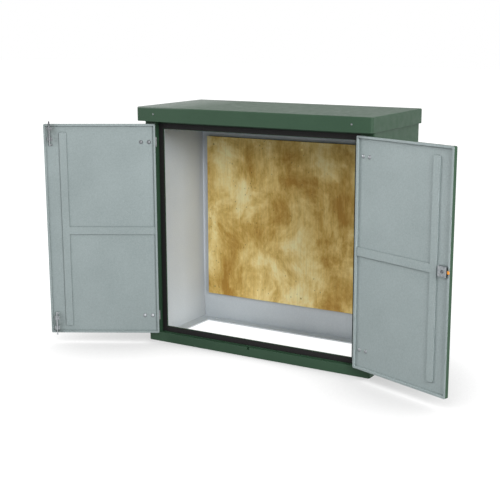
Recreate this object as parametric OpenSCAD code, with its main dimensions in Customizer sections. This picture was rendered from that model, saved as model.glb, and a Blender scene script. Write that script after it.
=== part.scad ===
// Roadside utility cabinet with two side-hung doors, shown with its doors open.
// Millimetres. The origin is on the ground, in the middle of the body's footprint.
// +Z is up and the doors are on the -Y side.

/* [Body] */
// Width of the body, outside
body_w = 1200; // [900:10:1600]
// Depth of the body, outside
body_d = 500; // [350:10:800]
// Thickness of the moulded walls
wall_t = 6; // [5:0.5:7]
// Radius of the body's upright corners
corner_r = 8; // [7:0.5:14]
// Width of the flanges turned in at the base and at the top
flange_w = 60; // [45:1:90]
// Diameter of the four anchor holes in the base flange
anchor_d = 14; // [9:1:20]
// Distance from the body's side to an anchor hole
anchor_inset = 100; // [80:1:200]

/* [Doorway] */
// Width of the front face beside each door
jamb_w = 64; // [62:1:100]
// Height of the sill below the doors
sill_h = 46.5; // [40:0.5:80]
// Height of the header above the doorway
header_h = 60; // [50:1:100]
// Depth of the rebate that the doors close into
rebate_depth = 20; // [20:0.5:26]
// Width of the landing beside the doorway
landing_side = 33.5; // [31:0.5:45]
// Height of the landing below the doorway
landing_low = 32; // [31:0.5:45]
// Height of the landing above the doorway
landing_top = 41; // [41:0.5:55]
// Width of the rubber seal on the landing
seal_w = 24; // [12:0.5:24]
// Thickness of the rubber seal
seal_t = 3.5; // [2:0.1:3.6]
// Width of the bare lip between the seal and the doorway
seal_lip = 2.5; // [1:0.5:4]

/* [Doors] */
// Height of a door
door_h = 1030; // [700:10:1500]
// Thickness of a door over its rim
door_t = 15.8; // [15:0.1:16.2]
// Thickness of the outer skin
skin_t = 3; // [2:0.1:3.2]
// Thickness of the inner liner
liner_t = 2.8; // [2:0.1:3]
// Width of the raised rim around the inside of a door
rim_w = 9.5; // [9:0.5:11]
// Radius of a door's corners
door_corner_r = 6; // [6:0.5:11]
// Radius of a door's outer edges
door_edge_r = 2.5; // [2:0.1:2.8]
// How far the pull edge stands out along the right door's free edge
pull_t = 5; // [3:0.5:8]
// Width of the pull edge
pull_w = 18; // [12:1:20]
// Gap below a door
door_gap_low = 2.5; // [2:0.1:4]
// Gap above a door
door_gap_top = 15; // [14.5:0.5:20]
// Gap at a door's hinge edge
door_gap_side = 1.4; // [1.2:0.1:3]
// Gap between the two doors when they are shut
door_gap_mid = 2; // [1:0.1:4]
// Angle of the left door
left_open = 150.4; // [0:0.1:168]
// Angle of the right door
right_open = 159.9; // [0:0.1:168]

/* [Stiffeners] */
// Width of an upright stiffener
rib_w = 34; // [24:1:44]
// Width of a cross stiffener
cross_w = 36; // [24:1:50]
// Height of a stiffener above the liner
rib_h = 6; // [4:0.5:9]
// Radius of a stiffener's corners
rib_corner_r = 7; // [2:0.5:10]
// Distance from the free edge to the upright stiffener's middle
rib_from_edge = 90; // [85:1:120]
// Distance from the left door's ends to its upright stiffener
left_rib_gap = 38; // [36:0.5:80]
// Distance from the right door's ends to its upright stiffener
right_rib_gap = 47.5; // [36:0.5:80]
// How far the left door's upright stiffener lies above the door's middle
left_rib_shift = -2; // [-20:0.5:20]
// How far the right door's upright stiffener lies above the door's middle
right_rib_shift = 3.5; // [-20:0.5:20]
// How far the left door's cross stiffener lies above the door's middle
left_cross_shift = -2; // [-20:0.5:20]
// How far the right door's cross stiffener lies above the door's middle
right_cross_shift = 13; // [-20:0.5:20]

/* [Hinges] */
// Length of a hinge
hinge_h = 45; // [36:1:80]
// Distance from a door's end to its hinge's middle
hinge_inset = 87; // [60:1:200]
// Radius of the knuckles
knuckle_r = 4.7; // [4.2:0.1:4.9]
// Diameter of the hinge pins
pin_d = 5; // [3:0.1:5]
// Thickness of the hinge leaves
leaf_t = 2; // [1.5:0.1:2.5]
// Length of the leaf on the door
door_leaf_w = 85; // [80:1:110]
// Length of the leaf on the jamb
frame_leaf_w = 57; // [54:1:59]
// Diameter of the hinge bolts
bolt_d = 6; // [4:0.5:8]
// Diameter of the hinge bolts' round heads
bolt_head_d = 19; // [12:0.5:20]
// Height of the hinge bolts' round heads
bolt_head_h = 3; // [2:0.1:3.4]

/* [Shoot bolts] */
// Diameter of the sliding rods
rod_d = 7; // [5:0.1:7.1]
// Distance from the free edge to the rods
rod_from_edge = 26.6; // [25:0.1:32]
// Width of the guides over their feet
guide_w = 24; // [22:0.5:26]
// Length of one guide
guide_l = 18; // [12:1:20]
// How far the top rod stands above the door
rod_out_top = 12.5; // [4:0.5:13]
// How far the bottom rod stands below the door
rod_out_low = 13; // [4:0.5:16]
// Travel from the shown place to fully shot
rod_throw = 14; // [8:1:15]

/* [Lock] */
// Width of the lock case
lock_w = 46; // [36:1:50]
// Height of the lock case
lock_h = 44; // [40:1:80]
// How far the lock case stands above the door's rim
lock_rise = 6; // [6:0.5:10]
// Height of the lock's middle above the ground
lock_z = 577; // [400:1:800]
// Gap between the rim and the lock's face plate
lock_gap = 0.7; // [0.5:0.1:4]
// Height of the latch tongue
tongue_h = 12; // [8:0.5:22]
// Thickness of the latch tongue
tongue_t = 3.6; // [2.5:0.1:3.6]
// How far the tongue stands out of the face plate
tongue_out = 10; // [6:0.5:10]
// Diameter of the key plug
plug_d = 16; // [10:0.5:20]

/* [Roof] */
// Thickness of the roof's top
roof_t = 6; // [4:0.5:10]
// Thickness of the roof's skirt
skirt_t = 4; // [3:0.5:4.5]
// Height of the roof's skirt, outside
skirt_h = 67; // [50:1:67]
// Overhang in front
roof_front = 48.6; // [30:0.1:80]
// Overhang at each side
roof_side = 12; // [6:0.5:40]
// Overhang behind
roof_back = 5; // [5:0.5:40]
// Radius of the roof's edges
roof_edge_r = 5; // [2:0.5:6]
// Radius of the roof's corners
roof_corner_r = 12; // [12:0.5:20]
// Distance from the body's side to a skirt screw
roof_screw_inset = 85; // [70:1:300]
// Diameter of the screw heads
screw_head_d = 9; // [6:0.5:12]

/* [Backboard] */
// Thickness of the plywood
ply_t = 18; // [12:1:25]
// Gap between the plywood and the side walls
ply_gap_side = 38; // [10:1:120]
// Height of the plywood's lower edge
ply_low = 140; // [80:1:300]
// Height of the plywood
ply_h = 835; // [400:1:900]

/* [Hidden] */
$fn = 48;

green = [0.26, 0.36, 0.29];
grey = [0.62, 0.67, 0.67];
black = [0.12, 0.12, 0.13];
steel = [0.62, 0.62, 0.64];
plywood = [0.72, 0.62, 0.40];
orange = [0.95, 0.50, 0.18];

// Small clearances
over = 1;             // how far a cutting shape runs past what it cuts
run_clear = 0.05;     // between a turning or sliding rod and its bore, on the radius
hole_clear = 0.1;     // between a fixed bolt and its hole, on the radius
part_gap = 0.3;       // between a knuckle and the next one
skin_inset = 0.2;     // how far a shut door lies behind the front face

// Body and doorway
front_y = -body_d / 2;
back_y = body_d / 2;
reveal_x = body_w / 2 - jamb_w;
door_z0 = sill_h + door_gap_low;
door_z1 = door_z0 + door_h;
door_mid_z = (door_z0 + door_z1) / 2;
ledge_top_z = door_z1 + door_gap_top;
body_h = ledge_top_z + header_h;
opening_x = reveal_x - landing_side;
opening_z0 = sill_h + landing_low;
opening_z1 = ledge_top_z - landing_top;
landing_back = rebate_depth + wall_t;
anchor_x = body_w / 2 - anchor_inset;
anchor_y = body_d / 2 - wall_t - flange_w / 2;

// Doors, measured from the hinge pin: X along the door, Y from outside to inside
pin_x = reveal_x - door_gap_side;
pin_y = front_y - (knuckle_r - skin_inset);
door_w = pin_x - door_gap_mid / 2;
door_face = knuckle_r;
pan_back = door_face + skin_t;
pan_face = pan_back + liner_t;
rim_face = door_face + door_t;
rim_cap_t = 1.5;
frame_face = knuckle_r - skin_inset;
rib_x = door_w - rib_from_edge;

// Hinges
hinge_zs = [door_z1 - hinge_inset, door_z0 + hinge_inset];
knuckle_gap_r = knuckle_r + 0.6;
knuckle_cut = 0.05;                     // keeps the rolled knuckle clear of the leaf's back plane
pin_head_r = pin_d / 2 + 0.8;
pin_head_h = 1.5;
door_bolt_xs = [32, 70];
frame_bolt_xs = [20, 45];
bolt_outer_d = bolt_head_d - 2;         // the heads outside are smaller than the nuts inside
bolt_nut_h = 5;

// Shoot bolts
rod_x = door_w - rod_from_edge;
rod_lift = 1.1;                         // from the liner to the rod
rod_y = pan_face + rod_lift + rod_d / 2;
rod_tip = 1.2;
rod_notch_w = rod_d + 2;                // of the gap in the rim that the rod passes
guide_r = rod_d / 2 + 1.7;
guide_foot_t = 2.5;
rod_l = 116;
knob_from_end = 4;
knob_d = 6;
knob_l = 13;
guide_near = 22;                        // from the door's end to the middle of the nearer guide
guide_far = 72;                         // and to the middle of the farther one
keep_clear = 2;                         // round a rod in its keep
slot_w = rod_d + 2 * keep_clear;
slot_z = door_z0 - rod_out_low - keep_clear;
keep_x = rod_x - pin_x;                 // the rods' place in the doorway when the left door is shut
keep_y = front_y - frame_face + rod_y;
keep_z = slot_z - rod_throw;
keep_back = keep_y + slot_w / 2;
small_screw_d = 5;
small_screw_h = 1.5;
guide_screw_x = guide_w / 2 - small_screw_d / 2 - 0.7;

// Lock
face_x = door_w - rim_w - lock_gap;
face_t = 1.5;
face_h = lock_h - 3;
case_wall = 1.5;
lock_face = rim_face + lock_rise;
tongue_y = rim_face + 0.6;
tongue_in = 18;
plug_out = 2;                           // how far the key plug stands out of the door
plug_hole_d = plug_d + 1.2;
plug_end_gap = 1;                       // between the key plug's end and the tongue
key_slot_w = 2;
key_slot_depth = 6;
escutcheon_d = plug_d + 8;
escutcheon_t = 1.5;
escutcheon_taper = 2;
spindle_d = 6;
hub_d = 15;
hub_h = 2.5;
hub_taper = 2;
hub_slot_w = 3;
lock_screw_inset = 7;
plug_z = lock_z;
plug_x = face_x - face_t - lock_w / 2;

// Roof
roof_w = body_w + 2 * roof_side;
roof_depth = body_d + roof_front + roof_back;
roof_mid_y = (roof_back - roof_front) / 2;
roof_top_z = body_h + roof_t;
skirt_z = roof_top_z - skirt_h;
bracket_w = 40;
bracket_t = 3;
bracket_h = 26;
bracket_z = skirt_z + skirt_h / 2;
roof_screw_x = body_w / 2 - roof_screw_inset;
screw_d = 5;
roof_nut_h = 4;

// Backboard
ply_w = body_w - 2 * wall_t - 2 * ply_gap_side;
ply_y = back_y - wall_t - ply_t;
ply_screw_inset = 40;
ply_screw_d = 5;
ply_screw_head_d = 10;
ply_screw_head_h = 3;
ply_screw_sink = 0.4;                   // from the board's face to a screw's head

// A block given by its lowest and highest corners
module block(low, high) {
    translate(low) cube(high - low);
}

// A rectangle with round corners, centred
module round_rect(w, h, r) {
    square([w - 2 * r, h], center = true);
    square([w, h - 2 * r], center = true);
    for (x = [-1, 1], y = [-1, 1])
        translate([x * (w / 2 - r), y * (h / 2 - r)]) circle(r);
}

// A slab whose upright corners and lower edges are round, centred on Z and standing on z = 0
module moulded_slab(w, h, t, corner, edge) {
    hull() {
        for (x = [-1, 1], y = [-1, 1])
            translate([x * (w / 2 - corner), y * (h / 2 - corner), edge]) {
                rotate_extrude($fn = 32) translate([corner - edge, 0]) circle(edge, $fn = 16);
                cylinder(r = corner, h = t - edge, $fn = 32);
            }
    }
}

// A round-headed screw or bolt head on +Z
module dome(d, h) {
    ball_r = (d * d / 4 + h * h) / (2 * h);
    intersection() {
        translate([0, 0, h - ball_r]) sphere(ball_r);
        cylinder(d = d, h = h);
    }
}

// Places for the two doors: local Y = 0 is the hinge pin
module on_left_door() {
    translate([-pin_x, pin_y, 0]) rotate([0, 0, -left_open]) children();
}

module on_right_door() {
    translate([pin_x, pin_y, 0]) rotate([0, 0, right_open]) mirror([1, 0, 0]) children();
}

// Places for the pieces of the hinges that stay on the jambs
module on_left_jamb() {
    translate([-pin_x, pin_y, 0]) children();
}

module on_right_jamb() {
    translate([pin_x, pin_y, 0]) mirror([1, 0, 0]) children();
}

// Turns a shape drawn on the XY plane to face a door's inside: X stays, Y goes down, Z goes inwards
module facing_in() {
    rotate([-90, 0, 0]) children();
}

// Where the rod of a shoot bolt crosses a door's rim
module rod_notch(z0, z1) {
    block([rod_x - rod_notch_w / 2, pan_face, z0], [rod_x + rod_notch_w / 2, rim_face + over, z1]);
}

// Body
module body_shell() {
    color(green)
        difference() {
            linear_extrude(body_h) round_rect(body_w, body_d, corner_r);
            difference() {
                block([-body_w / 2 + wall_t, front_y + wall_t, wall_t],
                    [body_w / 2 - wall_t, back_y - wall_t, body_h - wall_t]);
                block([-reveal_x - wall_t, front_y, sill_h - wall_t],
                    [reveal_x + wall_t, front_y + landing_back, ledge_top_z + wall_t]);
                block([keep_x - slot_w / 2 - wall_t, front_y, 0],
                    [keep_x + slot_w / 2 + wall_t, keep_back + wall_t, sill_h]);
            }
            block([-reveal_x, front_y - over, sill_h], [reveal_x, front_y + rebate_depth, ledge_top_z]);
            block([-opening_x, front_y - over, opening_z0],
                [opening_x, front_y + landing_back + over, opening_z1]);
            block([-body_w / 2 + wall_t + flange_w, front_y + wall_t + flange_w, -over],
                [body_w / 2 - wall_t - flange_w, back_y - wall_t - flange_w, body_h + over]);
            for (x = [-1, 1], y = [-1, 1])
                translate([x * anchor_x, y * anchor_y, -over]) cylinder(d = anchor_d, h = wall_t + 2 * over);
            for (side = [-1, 1], x = frame_bolt_xs, z = hinge_zs)
                translate([side * (pin_x + x), front_y - over, z])
                    facing_in() cylinder(d = bolt_d + 2 * hole_clear, h = wall_t + 2 * over);
            bolt_keeps();
            for (side = [-1, 1])
                translate([side * roof_screw_x, front_y - over, bracket_z])
                    facing_in() cylinder(d = screw_d + 2 * hole_clear, h = wall_t + 2 * over);
        }
}

// The slot and the blind hole in the sill for the lower rod, and the hole in the header for the upper one
module bolt_keeps() {
    translate([keep_x, 0, 0]) {
        block([-slot_w / 2, front_y - over, slot_z], [slot_w / 2, keep_back, sill_h + over]);
        block([-slot_w / 2, front_y + wall_t, keep_z], [slot_w / 2, keep_back, sill_h + over]);
        block([-slot_w / 2, front_y + wall_t, ledge_top_z - over],
            [slot_w / 2, keep_back, ledge_top_z + wall_t + over]);
    }
}

module door_seal() {
    inner_x = opening_x + seal_lip;
    inner_z0 = opening_z0 - seal_lip;
    inner_z1 = opening_z1 + seal_lip;
    seal_y = front_y + rebate_depth - seal_t;
    color(black)
        difference() {
            block([-inner_x - seal_w, seal_y, inner_z0 - seal_w],
                [inner_x + seal_w, front_y + rebate_depth, inner_z1 + seal_w]);
            block([-inner_x, seal_y - over, inner_z0], [inner_x, front_y + rebate_depth + over, inner_z1]);
        }
}

// Roof
module roof_cap() {
    color(green)
        difference() {
            translate([0, roof_mid_y, roof_top_z]) mirror([0, 0, 1])
                moulded_slab(roof_w, roof_depth, skirt_h, roof_corner_r, roof_edge_r);
            block([-roof_w / 2 + skirt_t, front_y - roof_front + skirt_t, skirt_z - over],
                [roof_w / 2 - skirt_t, back_y + roof_back - skirt_t, body_h]);
            for (side = [-1, 1])
                translate([side * roof_screw_x, front_y - roof_front - over, bracket_z])
                    facing_in() cylinder(d = screw_d + 2 * hole_clear, h = skirt_t + 2 * over);
        }
}

// Two cranked straps that hold the roof's skirt to the header
module roof_brackets() {
    outer_y = front_y - roof_front + skirt_t;
    color(steel)
        for (side = [-1, 1])
            translate([side * roof_screw_x, 0, bracket_z])
                difference() {
                    union() {
                        block([-bracket_w / 2, outer_y, -bracket_h / 2],
                            [bracket_w / 2, outer_y + bracket_t, bracket_h / 2]);
                        block([-bracket_w / 2, outer_y, bracket_h / 2 - bracket_t],
                            [bracket_w / 2, front_y, bracket_h / 2]);
                        block([-bracket_w / 2, front_y - bracket_t, -bracket_h / 2],
                            [bracket_w / 2, front_y, bracket_h / 2]);
                    }
                    translate([0, outer_y - over, 0]) facing_in()
                        cylinder(d = screw_d + 2 * hole_clear, h = roof_front + 2 * over);
                }
}

// The screws through the skirt, and the bolts behind them through the header
module roof_screws() {
    color(steel)
        for (side = [-1, 1])
            translate([side * roof_screw_x, 0, bracket_z]) {
                translate([0, front_y - roof_front, 0]) {
                    rotate([90, 0, 0]) dome(screw_head_d, screw_head_d / 4);
                    facing_in() cylinder(d = screw_d, h = skirt_t + bracket_t + roof_nut_h);
                }
                translate([0, front_y - bracket_t, 0]) {
                    rotate([90, 0, 0]) dome(screw_head_d, screw_head_d / 4);
                    facing_in() cylinder(d = screw_d, h = bracket_t + wall_t);
                    translate([0, bracket_t + wall_t, 0]) facing_in()
                        cylinder(d = screw_head_d, h = roof_nut_h, $fn = 6);
                }
            }
}

// Backboard
module backboard() {
    color(plywood)
        difference() {
            block([-ply_w / 2, ply_y, ply_low], [ply_w / 2, ply_y + ply_t, ply_low + ply_h]);
            ply_screw_places() {
                translate([0, -over, 0]) facing_in()
                    cylinder(d = ply_screw_d + 2 * hole_clear, h = ply_t + 2 * over);
                translate([0, -over, 0]) facing_in()
                    cylinder(d = ply_screw_head_d, h = over + ply_screw_sink);
                ply_screw_head();
            }
        }
}

// Six places on the board's face
module ply_screw_places() {
    for (x = [-1, 0, 1], z = [ply_low + ply_screw_inset, ply_low + ply_h - ply_screw_inset])
        translate([x * (ply_w / 2 - ply_screw_inset), ply_y, z]) children();
}

// The sunk head of a backboard screw
module ply_screw_head() {
    translate([0, ply_screw_sink, 0]) facing_in()
        cylinder(d1 = ply_screw_head_d, d2 = ply_screw_d, h = ply_screw_head_h);
}

module backboard_screws() {
    color(steel)
        ply_screw_places() {
            ply_screw_head();
            translate([0, ply_screw_sink, 0]) facing_in()
                cylinder(d = ply_screw_d, h = ply_t - ply_screw_sink);
        }
}

// Doors
module hinge_bolt_holes() {
    for (x = door_bolt_xs, z = hinge_zs)
        translate([x, 0, z]) facing_in() cylinder(d = bolt_d + 2 * hole_clear, h = rim_face);
}

// The outer tray. Whatever is passed in is joined to it before the tray is hollowed.
module door_skin() {
    difference() {
        union() {
            translate([door_w / 2, door_face, door_mid_z]) facing_in()
                moulded_slab(door_w, door_h, door_t - rim_cap_t, door_corner_r, door_edge_r);
            children();
        }
        block([skin_t, pan_back, door_z0 + skin_t], [door_w - skin_t, rim_face + over, door_z1 - skin_t]);
        hinge_bolt_holes();
    }
}

// The thicker free edge of the right door, which stands out so that the door can be pulled by it
module pull_edge() {
    intersection() {
        translate([door_w / 2, door_face - pull_t, door_mid_z]) facing_in()
            moulded_slab(door_w, door_h, door_t - rim_cap_t + pull_t, door_corner_r, door_edge_r);
        block([door_w - pull_w, door_face - pull_t, door_z0], [door_w, rim_face - rim_cap_t, door_z1]);
    }
}

module door_liner(rib_z, rib_gap, cross_z) {
    difference() {
        union() {
            block([skin_t, pan_back, door_z0 + skin_t],
                [door_w - skin_t, rim_face - rim_cap_t, door_z1 - skin_t]);
            translate([door_w / 2, rim_face - rim_cap_t, door_mid_z]) facing_in()
                linear_extrude(rim_cap_t) round_rect(door_w, door_h, door_corner_r);
        }
        block([rim_w, pan_face, door_z0 + rim_w], [door_w - rim_w, rim_face + over, door_z1 - rim_w]);
        hinge_bolt_holes();
    }
    upright_rib(rib_z, rib_gap);
    cross_rib(cross_z);
}

module upright_rib(rib_z, rib_gap) {
    translate([rib_x, pan_face, rib_z]) facing_in()
        linear_extrude(rib_h) round_rect(rib_w, door_h - 2 * rib_gap, rib_corner_r);
}

// It runs from under the rim into the upright stiffener
module cross_rib(cross_z) {
    block([rim_w, pan_face, cross_z - cross_w / 2], [rib_x, pan_face + rib_h, cross_z + cross_w / 2]);
}

module left_door_skin() {
    color(green) on_left_door()
        difference() {
            door_skin();
            rod_notch(door_z0 - over, door_z0 + rim_w);
            rod_notch(door_z1 - rim_w, door_z1 + over);
        }
}

module left_door_liner() {
    color(grey) on_left_door()
        difference() {
            door_liner(door_mid_z + left_rib_shift, left_rib_gap, door_mid_z + left_cross_shift);
            rod_notch(door_z0 - over, door_z0 + rim_w);
            rod_notch(door_z1 - rim_w, door_z1 + over);
        }
}

module right_door_skin() {
    color(green) on_right_door()
        difference() {
            door_skin() pull_edge();
            plug_hole();
        }
}

module right_door_liner() {
    color(grey) on_right_door()
        difference() {
            door_liner(door_mid_z + right_rib_shift, right_rib_gap, door_mid_z + right_cross_shift);
            plug_hole();
        }
}

// The hole through the right door for the key plug
module plug_hole() {
    translate([plug_x, 0, plug_z]) facing_in() cylinder(d = plug_hole_d, h = pan_face + over);
}

// Hinges
// A leaf with its knuckles, drawn for the door's side. Each knuckle is [lowest z, highest z].
module hinge_leaf(width, face, knuckles, bolt_xs) {
    difference() {
        union() {
            block([knuckle_gap_r, face - leaf_t, -hinge_h / 2], [width, face, hinge_h / 2]);
            for (k = knuckles) {
                translate([0, 0, k[0]]) cylinder(r = knuckle_r - knuckle_cut, h = k[1] - k[0]);
                block([0, face - leaf_t, k[0]], [knuckle_gap_r, face, k[1]]);
            }
        }
        translate([0, 0, -hinge_h / 2 - over]) cylinder(d = pin_d + 2 * run_clear, h = hinge_h + 2 * over);
        for (x = bolt_xs)
            translate([x, 0, 0]) facing_in() cylinder(d = bolt_d + 2 * hole_clear, h = face + over);
    }
}

module door_leaf() {
    middle = hinge_h / 6 - part_gap / 2;
    color(steel) hinge_leaf(door_leaf_w, door_face, [[-middle, middle]], door_bolt_xs);
}

module frame_leaf() {
    inner = hinge_h / 6 + part_gap / 2;
    color(steel) mirror([1, 0, 0])
        hinge_leaf(frame_leaf_w, frame_face, [[-hinge_h / 2, -inner], [inner, hinge_h / 2]], frame_bolt_xs);
}

module hinge_pin() {
    color(steel) {
        translate([0, 0, -hinge_h / 2]) cylinder(d = pin_d, h = hinge_h);
        translate([0, 0, hinge_h / 2]) dome(2 * pin_head_r, pin_head_h);
        translate([0, 0, -hinge_h / 2]) mirror([0, 0, 1]) dome(2 * pin_head_r, pin_head_h);
    }
}

// A round-headed bolt with a round nut. It holds a leaf at `face` to a wall of the given thickness.
module hinge_bolt(face, thickness) {
    color(steel) {
        translate([0, face - leaf_t, 0]) rotate([90, 0, 0]) dome(bolt_outer_d, bolt_head_h);
        translate([0, face - leaf_t, 0]) facing_in() cylinder(d = bolt_d, h = leaf_t + thickness);
        translate([0, face + thickness, 0]) facing_in() dome(bolt_head_d, bolt_nut_h);
    }
}

module left_top_hinge_frame_leaf() {
    on_left_jamb() translate([0, 0, hinge_zs[0]]) frame_leaf();
}

module left_top_hinge_door_leaf() {
    on_left_door() translate([0, 0, hinge_zs[0]]) door_leaf();
}

module left_top_hinge_pin() {
    on_left_jamb() translate([0, 0, hinge_zs[0]]) hinge_pin();
}

module left_low_hinge_frame_leaf() {
    on_left_jamb() translate([0, 0, hinge_zs[1]]) frame_leaf();
}

module left_low_hinge_door_leaf() {
    on_left_door() translate([0, 0, hinge_zs[1]]) door_leaf();
}

module left_low_hinge_pin() {
    on_left_jamb() translate([0, 0, hinge_zs[1]]) hinge_pin();
}

module right_top_hinge_frame_leaf() {
    on_right_jamb() translate([0, 0, hinge_zs[0]]) frame_leaf();
}

module right_top_hinge_door_leaf() {
    on_right_door() translate([0, 0, hinge_zs[0]]) door_leaf();
}

module right_top_hinge_pin() {
    on_right_jamb() translate([0, 0, hinge_zs[0]]) hinge_pin();
}

module right_low_hinge_frame_leaf() {
    on_right_jamb() translate([0, 0, hinge_zs[1]]) frame_leaf();
}

module right_low_hinge_door_leaf() {
    on_right_door() translate([0, 0, hinge_zs[1]]) door_leaf();
}

module right_low_hinge_pin() {
    on_right_jamb() translate([0, 0, hinge_zs[1]]) hinge_pin();
}

module frame_bolts_one_side() {
    for (x = frame_bolt_xs, z = hinge_zs)
        translate([-x, 0, z]) hinge_bolt(frame_face, wall_t);
}

module frame_hinge_bolts() {
    on_left_jamb() frame_bolts_one_side();
    on_right_jamb() frame_bolts_one_side();
}

module door_bolts_one_side() {
    for (x = door_bolt_xs, z = hinge_zs)
        translate([x, 0, z]) hinge_bolt(door_face, skin_t + liner_t);
}

module left_hinge_bolts() {
    on_left_door() door_bolts_one_side();
}

module right_hinge_bolts() {
    on_right_door() door_bolts_one_side();
}

// Shoot bolts, drawn for the top one: z = 0 is the door's end and the door lies below it
module bolt_guides() {
    for (z = [guide_near, guide_far])
        translate([rod_x, 0, -z - guide_l / 2]) rod_guide();
}

// A saddle round the rod, on two feet
module rod_guide() {
    difference() {
        union() {
            intersection() {
                translate([0, rod_y, 0]) cylinder(r = guide_r, h = guide_l);
                block([-guide_r, rod_y, 0], [guide_r, rod_y + guide_r, guide_l]);
            }
            block([-guide_r, pan_face, 0], [guide_r, rod_y, guide_l]);
            block([-guide_w / 2, pan_face, 0], [guide_w / 2, pan_face + guide_foot_t, guide_l]);
        }
        translate([0, rod_y, -over]) cylinder(d = rod_d + 2 * run_clear, h = guide_l + 2 * over);
    }
}

module bolt_rod(out) {
    translate([rod_x, rod_y, out - rod_l]) {
        cylinder(d = rod_d, h = rod_l - rod_tip);
        translate([0, 0, rod_l - rod_tip]) cylinder(d1 = rod_d, d2 = rod_d - 2 * rod_tip, h = rod_tip);
        translate([0, 0, knob_from_end]) rotate([0, -90, 0]) cylinder(d = knob_d, h = knob_l);
    }
}

// Two screws in the feet of each guide
module guide_screws() {
    for (side = [-1, 1], z = [guide_near, guide_far])
        translate([rod_x + side * guide_screw_x, pan_face + guide_foot_t, -z])
            facing_in() dome(small_screw_d, small_screw_h);
}

module at_door_top() {
    translate([0, 0, door_z1]) children();
}

module at_door_bottom() {
    translate([0, 0, door_z0]) mirror([0, 0, 1]) children();
}

module top_bolt_guides() {
    color(steel) on_left_door() at_door_top() bolt_guides();
}

module bottom_bolt_guides() {
    color(steel) on_left_door() at_door_bottom() bolt_guides();
}

module top_bolt_rod() {
    color(steel) on_left_door() at_door_top() bolt_rod(rod_out_top);
}

module bottom_bolt_rod() {
    color(steel) on_left_door() at_door_bottom() bolt_rod(rod_out_low);
}

module shoot_bolt_screws() {
    color(steel) on_left_door() {
        at_door_top() guide_screws();
        at_door_bottom() guide_screws();
    }
}

// Lock, on the right door
module tongue_slot(gap) {
    block([plug_x, tongue_y - gap, lock_z - tongue_h / 2 - gap],
        [face_x + over, tongue_y + tongue_t + gap, lock_z + tongue_h / 2 + gap]);
}

module lock_case() {
    case_x1 = face_x - face_t;
    color(steel) on_right_door()
        difference() {
            block([case_x1 - lock_w, pan_face, lock_z - lock_h / 2],
                [case_x1, lock_face, lock_z + lock_h / 2]);
            block([case_x1 - lock_w + case_wall, pan_face - over, lock_z - lock_h / 2 + case_wall],
                [case_x1 - case_wall, lock_face - case_wall, lock_z + lock_h / 2 - case_wall]);
            tongue_slot(part_gap);
            translate([plug_x, pan_face, plug_z]) facing_in()
                cylinder(d = spindle_d + 2 * run_clear, h = lock_face - pan_face + over);
        }
}

module lock_face_plate() {
    color(black) on_right_door()
        difference() {
            block([face_x - face_t, pan_face, lock_z - face_h / 2], [face_x, lock_face, lock_z + face_h / 2]);
            tongue_slot(part_gap);
        }
}

module lock_tongue() {
    color(orange) on_right_door()
        block([face_x - face_t - tongue_in, tongue_y, lock_z - tongue_h / 2],
            [face_x + tongue_out, tongue_y + tongue_t, lock_z + tongue_h / 2]);
}

// The key plug, the spindle behind it and the hub that the spindle turns on the inside
module lock_plug() {
    plug_y = door_face - plug_out;
    hub_y = lock_face + part_gap;
    color(steel) on_right_door()
        translate([plug_x, 0, plug_z])
            difference() {
                union() {
                    translate([0, plug_y, 0]) facing_in()
                        cylinder(d = plug_d, h = tongue_y - plug_y - plug_end_gap);
                    translate([0, door_face, 0]) facing_in()
                        cylinder(d = spindle_d, h = hub_y - door_face + over);
                    translate([0, hub_y, 0]) facing_in()
                        cylinder(d1 = hub_d, d2 = hub_d - hub_taper, h = hub_h);
                }
                block([-key_slot_w / 2, plug_y - over, -plug_d / 4],
                    [key_slot_w / 2, plug_y + key_slot_depth, plug_d / 4]);
                block([-hub_d / 3, hub_y + hub_h / 2, -hub_slot_w / 2],
                    [hub_d / 3, hub_y + hub_h + over, hub_slot_w / 2]);
            }
}

module lock_escutcheon() {
    color(steel) on_right_door()
        translate([plug_x, door_face, plug_z]) rotate([90, 0, 0])
            difference() {
                cylinder(d1 = escutcheon_d, d2 = escutcheon_d - escutcheon_taper, h = escutcheon_t);
                translate([0, 0, -over]) cylinder(d = plug_d + 2 * run_clear, h = escutcheon_t + 2 * over);
            }
}

module lock_screws() {
    color(steel) on_right_door()
        for (x = [-1, 1], z = [-1, 1])
            translate([plug_x + x * (lock_w / 2 - lock_screw_inset), lock_face,
                lock_z + z * (lock_h / 2 - lock_screw_inset)])
                facing_in() dome(small_screw_d, small_screw_h);
}

body_shell();
roof_cap();
roof_brackets();
roof_screws();
door_seal();
backboard();
backboard_screws();
left_door_skin();
left_door_liner();
right_door_skin();
right_door_liner();
left_top_hinge_frame_leaf();
left_top_hinge_door_leaf();
left_top_hinge_pin();
left_low_hinge_frame_leaf();
left_low_hinge_door_leaf();
left_low_hinge_pin();
right_top_hinge_frame_leaf();
right_top_hinge_door_leaf();
right_top_hinge_pin();
right_low_hinge_frame_leaf();
right_low_hinge_door_leaf();
right_low_hinge_pin();
frame_hinge_bolts();
left_hinge_bolts();
right_hinge_bolts();
top_bolt_guides();
top_bolt_rod();
bottom_bolt_guides();
bottom_bolt_rod();
shoot_bolt_screws();
lock_case();
lock_face_plate();
lock_tongue();
lock_plug();
lock_escutcheon();
lock_screws();
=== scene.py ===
import math

import bpy
from mathutils import Matrix, Vector


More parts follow.
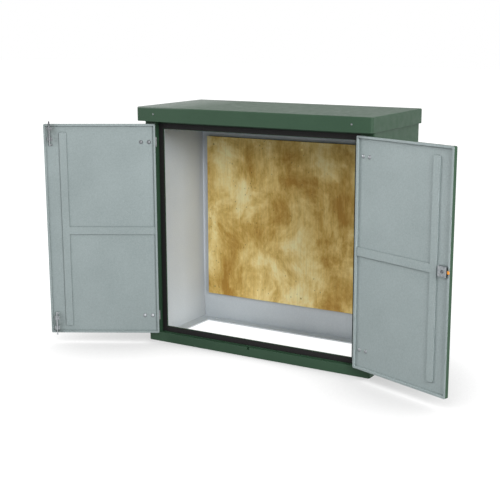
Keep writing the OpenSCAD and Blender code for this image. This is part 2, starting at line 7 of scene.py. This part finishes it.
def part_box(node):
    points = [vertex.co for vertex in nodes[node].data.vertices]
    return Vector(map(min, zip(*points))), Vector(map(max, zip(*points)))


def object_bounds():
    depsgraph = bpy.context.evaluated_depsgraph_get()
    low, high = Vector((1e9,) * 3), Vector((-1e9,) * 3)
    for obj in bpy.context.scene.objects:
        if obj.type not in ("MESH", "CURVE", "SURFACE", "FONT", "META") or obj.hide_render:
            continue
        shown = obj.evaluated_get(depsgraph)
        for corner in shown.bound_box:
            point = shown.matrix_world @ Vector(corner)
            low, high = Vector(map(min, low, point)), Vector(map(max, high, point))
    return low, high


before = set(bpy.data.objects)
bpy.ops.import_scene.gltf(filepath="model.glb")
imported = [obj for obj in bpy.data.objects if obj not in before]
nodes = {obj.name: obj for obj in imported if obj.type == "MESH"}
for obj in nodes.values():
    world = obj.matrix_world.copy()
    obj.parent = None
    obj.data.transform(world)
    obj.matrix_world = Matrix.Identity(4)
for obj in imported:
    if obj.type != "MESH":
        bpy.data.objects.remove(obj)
cad_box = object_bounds()

# Lengths are in metres and angles in degrees. +Z is up, and the doors are on the -Y side.
body_low, body_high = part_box("body_shell")
_, seal_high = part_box("door_seal")
board_low, board_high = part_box("backboard")
roof_low, roof_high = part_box("roof_cap")

# The photograph's camera, found from the cabinet's straight edges
CAMERA_PLACE = Vector((2.4329, -4.3420, 1.5460))
CAMERA_YAW = 30.8828
CAMERA_PITCH = 12.1560
CAMERA_ROLL = -0.1551
FOCAL_PIXELS = 1053.95
PHOTO_PIXELS = 500
SENSOR_MM = 36

# The softboxes, each with its place and its power in watts
LAMPS = {
    "right_softbox": ((4.7, -2.9, 2.4), 200),
    "left_softbox": ((-5.2, -1.6, 2.6), 150),
    "front_softbox": ((1.8, -5.0, 3.0), 45),
}
LAMP_AIM = (0.0, -0.2, 0.6)
LAMP_SIZE = 2.2

# The floor is a white table. To the camera it glows fully in open air, and down to FLOOR_GLOW close
# to the cabinet, where the open share of the air within SHADE_REACH goes from SHADE_NONE to
# SHADE_FULL. The camera also sees FLOOR_SHADE of the light that falls on it. The cabinet gets
# FLOOR_BOUNCE of that light back, and TABLE_LIGHT from the part of the floor inside its open base.
FLOOR_HALF = 30.0
FLOOR_DROP = 0.0005
TABLE_LIGHT = 0.80
FLOOR_GLOW = 0.52
FLOOR_SHADE = 0.15
FLOOR_BOUNCE = 0.30
SHADE_REACH = 0.6
SHADE_FULL = 0.5
SHADE_NONE = 1.0
SHADE_RAYS = 8

# The sky's light at the horizon and overhead, and what is added behind the cabinet
SKY_LOW = 0.05
SKY_HIGH = 1.05
SKY_BACK = 0.9

WHITE = (1.0, 1.0, 1.0, 1.0)
GREEN_DEEP = (0.0218, 0.0578, 0.0305)
GREEN_LIGHT = (0.0306, 0.0748, 0.0405)
# Painted sheen on the roof's top
GREEN_PAINTED_SHEEN = (0.165, 0.200, 0.175)
# Lighter edge colour, for wear and a painted highlight
GREEN_WEAR_AND_HIGHLIGHT = (0.060, 0.125, 0.080)
GREY_DEEP = (0.295, 0.352, 0.354)
GREY_LIGHT = (0.374, 0.439, 0.441)
# Lighter edge colour, for wear and a painted highlight
GREY_WEAR_AND_HIGHLIGHT = (0.46, 0.52, 0.52)
# Painted shade on the liners, in their corners and beside the shoot bolts
GREY_PAINTED_SHADE = (0.16, 0.19, 0.185)
INSIDE_DEEP = (0.500, 0.545, 0.575)
INSIDE_LIGHT = (0.565, 0.608, 0.638)
# Painted shade on the inner side walls towards the back
INSIDE_PAINTED_SHADE = (0.365, 0.378, 0.375)
# Painted light on the back wall round the board
LIT_BACK_DEEP = (0.640, 0.680, 0.735)
LIT_BACK_LIGHT = (0.710, 0.750, 0.805)
RUBBER_DEEP = (0.0045, 0.0043, 0.0043)
RUBBER_LIGHT = (0.0125, 0.0120, 0.0120)
ZINC_DEEP = (0.30, 0.318, 0.335)
ZINC_LIGHT = (0.46, 0.482, 0.500)
# Painted shade on steel, darker with height
STEEL_PAINTED_SHADE = (0.085, 0.088, 0.092)
KNOT = (0.140, 0.072, 0.018)

# The plywood's colours on its face and on its sawn edges, each with its place on the scale of tones
WOOD_FACE = (
    (0.390, (0.430, 0.228, 0.036)),
    (0.455, (0.600, 0.385, 0.096)),
    (0.510, (0.780, 0.562, 0.192)),
    (0.565, (0.910, 0.720, 0.310)),
    (0.630, (0.970, 0.850, 0.455)),
)
WOOD_EDGE = (
    (0.2, (0.12, 0.075, 0.022)),
    (0.8, (0.27, 0.185, 0.062)),
)
# How often the wood's grain and streaks change in a metre across, through and along the board
GRAIN_PITCH = (260.0, 60.0, 10.0)
STREAK_PITCH = (34.0, 20.0, 3.4)
CLOUD_LEAN = 28
KNOT_SHARE = 0.6
PLIES = 9
# What lies further than this behind the board's front counts as its edge
FACE_DEPTH = 0.0006

# Most of a noise's values lie between these
NOISE_LOW = 0.3
NOISE_HIGH = 0.7

# Wear and a painted highlight on edges, in one lighter colour: the cosine between a face's own
# normal and its rounded one, where they start and where they are full
WEAR_HIGHLIGHT_NONE = 0.97
WEAR_HIGHLIGHT_FULL = 0.75
GREEN_WEAR_HIGHLIGHT_SHARE = 0.6
GREY_WEAR_HIGHLIGHT_SHARE = 0.22
# Painted shade in corners: the open share of the air round a point, where the shade starts and
# where it is full
CORNER_SHADE_NONE = 0.92
CORNER_SHADE_FULL = 0.45
CORNER_SHADE_REACH = 0.008
CORNER_SHADE_SHARE = 0.62
EDGE_RAYS = 4

# The gel coat outside. Painted sheen: the roof's top is painted paler, standing in for a grazing
# reflection, from SHEEN_X to its left end, fully down to SHEEN_FULL below the highest point, and
# not at all lower than SHEEN_NONE below it.
GEL_COAT_IOR = 1.38
GEL_COAT_ROUGH = (0.46, 0.58)
SHEEN_X = -0.30
SHEEN_NONE = 0.008
SHEEN_FULL = 0.002

# The painted shadow on the door beside a shoot bolt, where its rod and guides shade it: how near
# the rod's middle it is full and how far it reaches, how far it runs past the rod's ends, and how
# far inside them it is full
ROD_SHADOW_NEAR = 0.016
ROD_SHADOW_FAR = 0.046
ROD_SHADOW_PAST = 0.01
ROD_SHADOW_INSIDE = 0.02
ROD_SHADOW_SHARE = 0.8

# The body's moulding turns from green to grey partway through each wall, so that each face has one
# colour. The pocket is the hollow behind the frame's face, beyond the rebate's side wall.
WALL = 0.006
INSIDE_X = body_high.x - WALL / 2
INSIDE_Y = body_high.y - WALL / 2
LANDING_BACK_Y = seal_high.y + WALL * 0.6
POCKET_X = 0.539
POCKET_Y = body_low.y + WALL / 2
# A point of the body that is nearer than this to its outside is on a wall
ON_WALL = 1.5 * WALL
# Painted shade: the side walls are painted darker from BACK_SHADE_Y to the back
BACK_SHADE_Y = 0.05
BACK_SHADE_SHARE = 0.65
# Painted light: the back wall is painted lighter, standing in for light, from below the board's
# lower edge to above it
LIT_BELOW = 0.06
LIT_ABOVE = 0.20
INSIDE_ROUGHER = 0.08


class Nodes:
    """A node tree being made, with short calls for the nodes in it."""

    def __init__(self, tree, place):
        self.tree = tree
        self.place = self.node("ShaderNodeTexCoord").outputs[place]

    def feed(self, socket, value):
        if isinstance(value, bpy.types.NodeSocket):
            self.tree.links.new(value, socket)
        else:
            socket.default_value = value

    def node(self, kind, inputs=None, **settings):
        made = self.tree.nodes.new(kind)
        for name, value in settings.items():
            setattr(made, name, value)
        for name, value in (inputs or {}).items():
            self.feed(made.inputs[name], value)
        return made

    def axes(self):
        parts = self.node("ShaderNodeSeparateXYZ", {0: self.place})
        return parts.outputs[0], parts.outputs[1], parts.outputs[2]

    def math(self, operation, a, b=0.0):
        return self.node("ShaderNodeMath", {0: a, 1: b}, operation=operation).outputs[0]

    def times(self, product, *others):
        for other in others:
            product = self.math("MULTIPLY", product, other)
        return product

    def level(self, fac, low, high, to_low=0.0, to_high=1.0):
        """A value that goes from to_low to to_high as fac goes from low to high."""
        inputs = {"Value": fac, "From Min": low, "From Max": high}
        inputs.update({"To Min": to_low, "To Max": to_high})
        return self.node("ShaderNodeMapRange", inputs).outputs[0]

    def seen(self):
        """1 for what the camera sees, straight or reflected, and 0 for light on other paths."""
        paths = self.node("ShaderNodeLightPath").outputs
        return self.math("MAXIMUM", paths["Is Camera Ray"], paths["Is Glossy Ray"])


class Look(Nodes):
    """A material being made: one Principled shader, fed by nodes that work in the part's frame."""

    def __init__(self, name, **sockets):
        self.mat = bpy.data.materials.new(name)
        self.mat.use_nodes = True
        super().__init__(self.mat.node_tree, "Object")
        self.shader = self.tree.nodes["Principled BSDF"]
        self.set(**sockets)

    def set(self, **sockets):
        for name, value in sockets.items():
            self.feed(self.shader.inputs[name.replace("_", " ")], value)

    def stretch(self, scale, lean=0.0):
        """The place for a texture, scaled along each axis and turned about Y."""
        rotation = (0.0, math.radians(lean), 0.0)
        inputs = {"Vector": self.place, "Rotation": rotation, "Scale": scale}
        return self.node("ShaderNodeMapping", inputs).outputs[0]

    def noise(self, scale, detail=3.0, rough=0.55, place=None, twist=0.0):
        inputs = {"Vector": place or self.place, "Scale": scale, "Detail": detail}
        inputs.update({"Roughness": rough, "Distortion": twist})
        return self.node("ShaderNodeTexNoise", inputs).outputs["Fac"]

    def spread(self, noise, low, high):
        """A noise as a value from low to high."""
        return self.level(noise, NOISE_LOW, NOISE_HIGH, low, high)

    def blend(self, *parts):
        """The sum of some values, each times its share."""
        total, *others = [self.times(value, share) for value, share in parts]
        for other in others:
            total = self.math("ADD", total, other)
        return total

    def ramp(self, fac, *stops):
        made = self.node("ShaderNodeValToRGB", {"Fac": fac})
        points = made.color_ramp.elements
        while len(points) < len(stops):
            points.new(0.5)
        for point, (place, colour) in zip(points, stops):
            point.position = place
            point.color = (*colour, 1.0)
        return made.outputs["Color"]

    def two_tone(self, noise, deep, light):
        return self.ramp(noise, (NOISE_LOW, deep), (NOISE_HIGH, light))

    def mix(self, fac, a, b, blend="MIX"):
        made = self.node("ShaderNodeMix", data_type="RGBA", blend_type=blend)
        self.feed(made.inputs[0], fac)
        self.feed(made.inputs[6], a if isinstance(a, bpy.types.NodeSocket) else (*a, 1.0))
        self.feed(made.inputs[7], b if isinstance(b, bpy.types.NodeSocket) else (*b, 1.0))
        return made.outputs[2]

    def bump(self, height, depth, normal):
        inputs = {"Height": height, "Distance": depth, "Strength": 1.0, "Normal": normal}
        return self.node("ShaderNodeBump", inputs).outputs[0]

    def soft_edges(self, radius):
        return self.node("ShaderNodeBevel", {"Radius": radius}, samples=EDGE_RAYS).outputs[0]

    def edge_wear_and_highlight(self, radius):
        """Wear and a painted highlight: 1 along the outer and inner edges, broken up by noise, and
        0 on the flats.
        """
        flat = self.node("ShaderNodeNewGeometry").outputs["Normal"]
        normals = {0: self.soft_edges(radius), 1: flat}
        turn = self.node("ShaderNodeVectorMath", normals, operation="DOT_PRODUCT").outputs["Value"]
        patch = self.level(self.noise(scale=45, detail=4, rough=0.6), 0.35, 0.65)
        return self.times(self.level(turn, WEAR_HIGHLIGHT_NONE, WEAR_HIGHLIGHT_FULL), patch)

    def open_air(self, reach, rays):
        """The share of the air within reach of a point that nothing stands in."""
        inputs = {"Distance": reach}
        return self.node("ShaderNodeAmbientOcclusion", inputs, samples=rays).outputs["AO"]

    def corner_shade(self):
        """Painted shade: 1 deep in a corner and 0 on the flats and the outer edges."""
        return self.level(self.open_air(CORNER_SHADE_REACH, EDGE_RAYS), CORNER_SHADE_NONE, CORNER_SHADE_FULL)


def green_colour(look):
    """Green gel coat: broad soft drifts of colour with fine specks in it, paler along its edges as
    wear and a painted highlight.
    """
    drift = look.noise(scale=3.5, detail=4)
    speck = look.noise(scale=420, detail=2)
    tone = look.blend((drift, 0.6), (speck, 0.4))
    coat = look.ramp(tone, (0.32, GREEN_DEEP), (0.68, GREEN_LIGHT))
    return look.mix(look.times(look.edge_wear_and_highlight(radius=0.003), GREEN_WEAR_HIGHLIGHT_SHARE), coat, GREEN_WEAR_AND_HIGHLIGHT)


def grey_colour(look, deep, light):
    """Grey flow coat as brushed on glass fibre: mottled at the size of the fibre mat."""
    drift = look.noise(scale=5, detail=3)
    mat_print = look.noise(scale=150, detail=3, rough=0.7)
    tone = look.blend((drift, 0.35), (mat_print, 0.65))
    return look.ramp(tone, (0.35, deep), (0.65, light))


def gel_coat_rough(look):
    return look.spread(look.noise(scale=30, detail=4), *GEL_COAT_ROUGH)


def moulded_bump(look, ripple_depth, peel_depth):
    """The slow ripple of a moulded panel under the fine orange peel of its coat."""
    edges = look.soft_edges(radius=0.0012)
    ripple = look.bump(look.noise(scale=7, detail=2), ripple_depth, edges)
    return look.bump(look.noise(scale=380, detail=2), peel_depth, ripple)


def green_look():
    """The roof and the doors' skins, with a painted sheen on the roof's top."""
    look = Look("green_moulding", IOR=GEL_COAT_IOR)
    x, _, z = look.axes()
    # Painted sheen: the roof's top is paler towards its left end
    top = look.level(z, roof_high.z - SHEEN_NONE, roof_high.z - SHEEN_FULL)
    sheen_mask = look.times(top, look.level(x, SHEEN_X, roof_low.x))
    look.set(Base_Color=look.mix(sheen_mask, green_colour(look), GREEN_PAINTED_SHEEN))
    look.set(Roughness=gel_coat_rough(look))
    look.set(Normal=moulded_bump(look, ripple_depth=0.0002, peel_depth=0.00008))
    return look.mat


def rod_shadow(look, rod):
    """Painted shadow: 1 beside a shoot bolt's rod, where the rod and its guides shade the door, and
    0 further off.
    """
    low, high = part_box(rod)
    x, y, z = look.axes()
    off_x = look.math("SUBTRACT", x, (low.x + high.x) / 2)
    off_y = look.math("SUBTRACT", y, (low.y + high.y) / 2)
    flat = look.node("ShaderNodeCombineXYZ", {0: off_x, 1: off_y}).outputs[0]
    off = look.node("ShaderNodeVectorMath", {0: flat}, operation="LENGTH").outputs["Value"]
    above = look.level(z, low.z - ROD_SHADOW_PAST, low.z + ROD_SHADOW_INSIDE)
    below = look.level(z, high.z + ROD_SHADOW_PAST, high.z - ROD_SHADOW_INSIDE)
    patch = look.level(look.noise(scale=38, detail=4, rough=0.6), 0.38, 0.62, 0.35, 1.0)
    return look.times(look.level(off, ROD_SHADOW_FAR, ROD_SHADOW_NEAR), look.times(above, below), patch)


def grey_look():
    """The doors' liners: worn and painted lighter on the edges, with painted shadow beside the
    bolts and painted shade in the corners.
    """
    look = Look("grey_liner", IOR=1.45)
    coat = grey_colour(look, GREY_DEEP, GREY_LIGHT)
    coat = look.mix(look.times(look.edge_wear_and_highlight(radius=0.002), GREY_WEAR_HIGHLIGHT_SHARE), coat, GREY_WEAR_AND_HIGHLIGHT)
    # Painted shadow beside the shoot bolts' rods
    rod_shadows = [rod_shadow(look, rod) for rod in ("top_bolt_rod", "bottom_bolt_rod")]
    rod_shade = look.math("MAXIMUM", *rod_shadows)
    coat = look.mix(look.times(rod_shade, ROD_SHADOW_SHARE), coat, GREY_PAINTED_SHADE)
    # Painted shade: the liner is darker deep in its corners
    coat = look.mix(look.times(look.corner_shade(), CORNER_SHADE_SHARE), coat, GREY_PAINTED_SHADE)
    look.set(Base_Color=coat)
    look.set(Roughness=look.spread(look.noise(scale=60, detail=3), 0.50, 0.64))
    look.set(Normal=moulded_bump(look, ripple_depth=0.0004, peel_depth=0.00035))
    return look.mat


def shell_look():
    """The body's one moulding: green gel coat outside and on the frame, grey flow coat inside."""
    look = Look("body_moulding", IOR=GEL_COAT_IOR)
    x, y, z = look.axes()
    across = look.math("ABSOLUTE", x)
    room = look.times(look.math("LESS_THAN", across, INSIDE_X), look.math("LESS_THAN", y, INSIDE_Y))
    behind = look.math("GREATER_THAN", y, LANDING_BACK_Y)
    beside = look.math("GREATER_THAN", across, POCKET_X)
    pocket = look.times(beside, look.math("GREATER_THAN", y, POCKET_Y))
    inside = look.times(room, look.math("MAXIMUM", behind, pocket))

    coat = grey_colour(look, INSIDE_DEEP, INSIDE_LIGHT)
    # Painted shade: the side walls darken towards the back
    on_side = look.math("GREATER_THAN", across, body_high.x - ON_WALL)
    back_shade = look.times(on_side, look.level(y, BACK_SHADE_Y, body_high.y, 0.0, BACK_SHADE_SHARE))
    coat = look.mix(back_shade, coat, INSIDE_PAINTED_SHADE)
    # Painted light: the back wall is lighter round the board
    on_back = look.math("GREATER_THAN", y, body_high.y - ON_WALL)
    by_board = look.level(z, board_low.z - LIT_BELOW, board_low.z + LIT_ABOVE)
    painted_light = grey_colour(look, LIT_BACK_DEEP, LIT_BACK_LIGHT)
    coat = look.mix(look.times(on_back, by_board), coat, painted_light)

    look.set(Base_Color=look.mix(inside, green_colour(look), coat))
    rougher = look.times(inside, INSIDE_ROUGHER)
    look.set(Roughness=look.math("ADD", gel_coat_rough(look), rougher))
    look.set(Normal=moulded_bump(look, ripple_depth=0.0002, peel_depth=0.00012))
    return look.mat


def rubber_look():
    look = Look("seal_rubber", IOR=1.35)
    skin = look.noise(scale=900, detail=3, rough=0.7)
    look.set(Base_Color=look.two_tone(skin, RUBBER_DEEP, RUBBER_LIGHT))
    look.set(Roughness=look.spread(look.noise(scale=120, detail=3), 0.62, 0.8))
    look.set(Normal=look.bump(skin, 0.0002, look.soft_edges(radius=0.001)))
    return look.mat


def plywood_look():
    """Figured veneer: smoky clouds, upright grain, groups of pin knots, and plies on the edges."""
    look = Look("plywood", Specular_IOR_Level=0.3)
    lean = look.stretch((1.0, 1.0, 0.72), CLOUD_LEAN)
    cloud = look.noise(scale=5.4, detail=8, rough=0.64, place=lean, twist=0.45)
    streak = look.noise(scale=1.0, detail=3, rough=0.6, place=look.stretch(STREAK_PITCH))
    grain = look.noise(scale=1.0, detail=3, rough=0.6, place=look.stretch(GRAIN_PITCH))
    fleck = look.noise(scale=75, detail=4, rough=0.7, place=look.stretch((1.0, 1.0, 0.6)))
    face = look.ramp(look.blend((cloud, 0.80), (streak, 0.10), (fleck, 0.10)), *WOOD_FACE)
    line = look.level(grain, 0.35, 0.65, 0.93, 1.05)
    lines = look.node("ShaderNodeCombineColor", {0: line, 1: line, 2: line}).outputs[0]
    face = look.mix(1.0, face, lines, "MULTIPLY")

    cells = {"Vector": look.stretch((1.0, 1.0, 0.7)), "Scale": 48.0}
    from_middle = look.node("ShaderNodeTexVoronoi", cells).outputs["Distance"]
    pin = look.level(from_middle, 0.08, 0.17, 1.0, 0.0)
    group = look.level(look.noise(scale=6, detail=2), 0.50, 0.58)
    face = look.mix(look.times(pin, group, KNOT_SHARE), face, KNOT)

    _, y, _ = look.axes()
    turns = math.tau * PLIES / 2 / (board_high.y - board_low.y)
    plies = look.math("SINE", look.times(y, turns))
    fibres = look.times(look.noise(scale=90, detail=3), 0.8)
    edge = look.ramp(look.level(look.math("ADD", plies, fibres), -0.6, 1.2), *WOOD_EDGE)
    on_edge = look.math("GREATER_THAN", y, board_low.y + FACE_DEPTH)
    look.set(Base_Color=look.mix(on_edge, face, edge))
    look.set(Roughness=look.spread(grain, 0.48, 0.66))
    look.set(Normal=look.bump(grain, 0.0003, look.soft_edges(radius=0.0008)))
    return look.mat


def steel_look(name, deep, light, rough, shaded_heights=()):
    """Zinc-plated steel: cloudy and finely scratched, with painted shade that darkens it from one
    height to another.
    """
    look = Look(name, Metallic=1.0)
    plating = look.noise(scale=140, detail=4, rough=0.65)
    colour = look.two_tone(plating, deep, light)
    for low, high in shaded_heights:
        _, _, z = look.axes()
        patch = look.level(plating, 0.2, 0.6, 0.7, 1.0)
        # Painted shade: darker with height
        colour = look.mix(look.times(look.level(z, low, high), patch), colour, STEEL_PAINTED_SHADE)
    look.set(Base_Color=colour)
    look.set(Roughness=look.spread(look.noise(scale=320, detail=3), rough - 0.08, rough + 0.1))
    scratch = look.noise(scale=1.0, detail=2, rough=0.5, place=look.stretch((900.0, 900.0, 120.0)))
    look.set(Normal=look.bump(scratch, 0.00005, look.soft_edges(radius=0.0005)))
    return look.mat


def plastic_look(name, deep, light, rough, ior):
    look = Look(name, IOR=ior)
    grain = look.noise(scale=800, detail=3, rough=0.6)
    look.set(Base_Color=look.two_tone(grain, deep, light))
    look.set(Roughness=look.spread(look.noise(scale=200, detail=2), rough - 0.06, rough + 0.08))
    look.set(Normal=look.bump(grain, 0.00008, look.soft_edges(radius=0.0006)))
    return look.mat


def floor_look():
    look = Look("floor", Roughness=0.9, Specular_IOR_Level=0.0, Emission_Color=WHITE)
    x, y, _ = look.axes()
    in_width = look.math("LESS_THAN", look.math("ABSOLUTE", x), body_high.x)
    in_depth = look.math("LESS_THAN", look.math("ABSOLUTE", y), body_high.y)
    under = look.times(in_width, in_depth)
    # Painted shadow: near the cabinet, the glow the camera sees falls with the ambient occlusion
    clear = look.level(look.open_air(SHADE_REACH, SHADE_RAYS), SHADE_FULL, SHADE_NONE)
    white = look.math("MAXIMUM", under, clear)
    glow = look.math("ADD", FLOOR_GLOW, look.times(white, 1.0 - FLOOR_GLOW))
    seen = look.seen()
    lit = look.times(TABLE_LIGHT, under, look.math("SUBTRACT", 1.0, seen))
    look.set(Emission_Strength=look.math("ADD", look.times(glow, seen), lit))
    look.set(Base_Color=look.mix(seen, (FLOOR_BOUNCE,) * 3, (FLOOR_SHADE,) * 3))
    return look.mat


green = green_look()
grey = grey_look()
# Painted shade: the guides, bolts and rods are painted darker slowly with height, and the top rod
# also at its upper end
steel = steel_look("steel", (0.26, 0.265, 0.275), (0.40, 0.405, 0.415), rough=0.45)
lock_metal = steel_look("lock_metal", (0.18, 0.195, 0.205), (0.35, 0.370, 0.385), rough=0.42)
shaded_zinc = steel_look("shaded_zinc", ZINC_DEEP, ZINC_LIGHT, rough=0.48, shaded_heights=[(0.2, 1.7)])
bolt_steel = steel_look("bolt_steel", ZINC_DEEP, ZINC_LIGHT, rough=0.48, shaded_heights=[(0.3, 1.45)])
rod_steel = steel_look("rod_steel", (0.38, 0.396, 0.412), (0.52, 0.538, 0.555), rough=0.45,
                       shaded_heights=[(0.1, 2.0), (1.070, 1.084)])
# Painted shade: the lock's plug is dark metal, standing in for the shadow in its keyhole
plug_shade_steel = steel_look("plug_shade_steel", (0.080, 0.086, 0.092), (0.180, 0.190, 0.200), rough=0.5)
dull_steel = steel_look("dull_steel", (0.12, 0.13, 0.135), (0.22, 0.23, 0.235), rough=0.5)
yellow_zinc = steel_look("yellow_zinc", (0.40, 0.29, 0.10), (0.56, 0.43, 0.18), rough=0.5)
black = plastic_look("black_plate", (0.002, 0.0025, 0.0035), (0.006, 0.007, 0.009),
                     rough=0.60, ior=1.22)
orange = plastic_look("orange_tongue", (1.0, 0.320, 0.024), (1.0, 0.430, 0.050),
                      rough=0.40, ior=1.46)

# The pieces that aren't of plain steel
SPECIAL = {
    "body_shell": shell_look(),
    "roof_cap": green,
    "left_door_skin": green,
    "right_door_skin": green,
    "left_door_liner": grey,
    "right_door_liner": grey,
    "door_seal": rubber_look(),
    "backboard": plywood_look(),
    "lock_case": lock_metal,
    "lock_plug": plug_shade_steel,
    "lock_escutcheon": lock_metal,
    "lock_face_plate": black,
    "lock_tongue": orange,
    "left_hinge_bolts": bolt_steel,
    "right_hinge_bolts": lock_metal,
    "frame_hinge_bolts": bolt_steel,
    "top_bolt_guides": shaded_zinc,
    "bottom_bolt_guides": shaded_zinc,
    "top_bolt_rod": rod_steel,
    "bottom_bolt_rod": rod_steel,
    "backboard_screws": yellow_zinc,
    "roof_screws": dull_steel,
}

for name, piece in nodes.items():
    piece.data.materials.clear()
    piece.data.materials.append(SPECIAL.get(name, steel))


def make_camera():
    yaw, pitch, roll = (math.radians(a) for a in (CAMERA_YAW, CAMERA_PITCH, CAMERA_ROLL))
    ahead = Vector((-math.sin(yaw) * math.cos(pitch), math.cos(yaw) * math.cos(pitch),
                    -math.sin(pitch)))
    level_right = Vector((math.cos(yaw), math.sin(yaw), 0))
    level_up = level_right.cross(ahead)
    right = level_right * math.cos(roll) + level_up * math.sin(roll)
    up = level_up * math.cos(roll) - level_right * math.sin(roll)
    data = bpy.data.cameras.new("camera")
    data.sensor_width = SENSOR_MM
    data.lens = SENSOR_MM * FOCAL_PIXELS / PHOTO_PIXELS
    camera = bpy.data.objects.new("camera", data)
    turn = Matrix((right, up, -ahead)).transposed().to_4x4()
    camera.matrix_world = Matrix.Translation(CAMERA_PLACE) @ turn
    bpy.context.scene.collection.objects.link(camera)
    bpy.context.scene.camera = camera


def make_lamp(name, place, power):
    data = bpy.data.lights.new(name, "AREA")
    data.shape = "DISK"
    data.size = LAMP_SIZE
    data.energy = power
    lamp = bpy.data.objects.new(name, data)
    lamp.location = place
    lamp.rotation_euler = (Vector(LAMP_AIM) - Vector(place)).to_track_quat("-Z", "Y").to_euler()
    bpy.context.scene.collection.objects.link(lamp)


def make_floor():
    """A pale floor that shows white to the camera where the cabinet doesn't shade it."""
    half = FLOOR_HALF
    corners = [(-half, -half, 0), (half, -half, 0), (half, half, 0), (-half, half, 0)]
    mesh = bpy.data.meshes.new("floor")
    mesh.from_pydata(corners, [], [(0, 1, 2, 3)])
    floor = bpy.data.objects.new("floor", mesh)
    floor.location.z = cad_box[0].z - FLOOR_DROP
    bpy.context.scene.collection.objects.link(floor)
    mesh.materials.append(floor_look())


def make_world():
    """White to the camera. To the cabinet, a sky that is brighter overhead and behind it."""
    world = bpy.data.worlds.new("studio")
    world.use_nodes = True
    sky = Nodes(world.node_tree, "Generated")
    _, y, z = sky.axes()
    overhead = sky.level(z, 0.0, 1.0, SKY_LOW, SKY_HIGH)
    light = sky.math("ADD", overhead, sky.level(y, 0.0, 1.0, 0.0, SKY_BACK))
    background = sky.tree.nodes["Background"]
    sky.feed(background.inputs["Color"], WHITE)
    sky.feed(background.inputs["Strength"], sky.level(sky.seen(), 0.0, 1.0, light, 1.0))
    bpy.context.scene.world = world


make_camera()
make_floor()
make_world()
for name, (place, power) in LAMPS.items():
    make_lamp(name, place, power)
bpy.context.scene.view_settings.view_transform = "Standard"
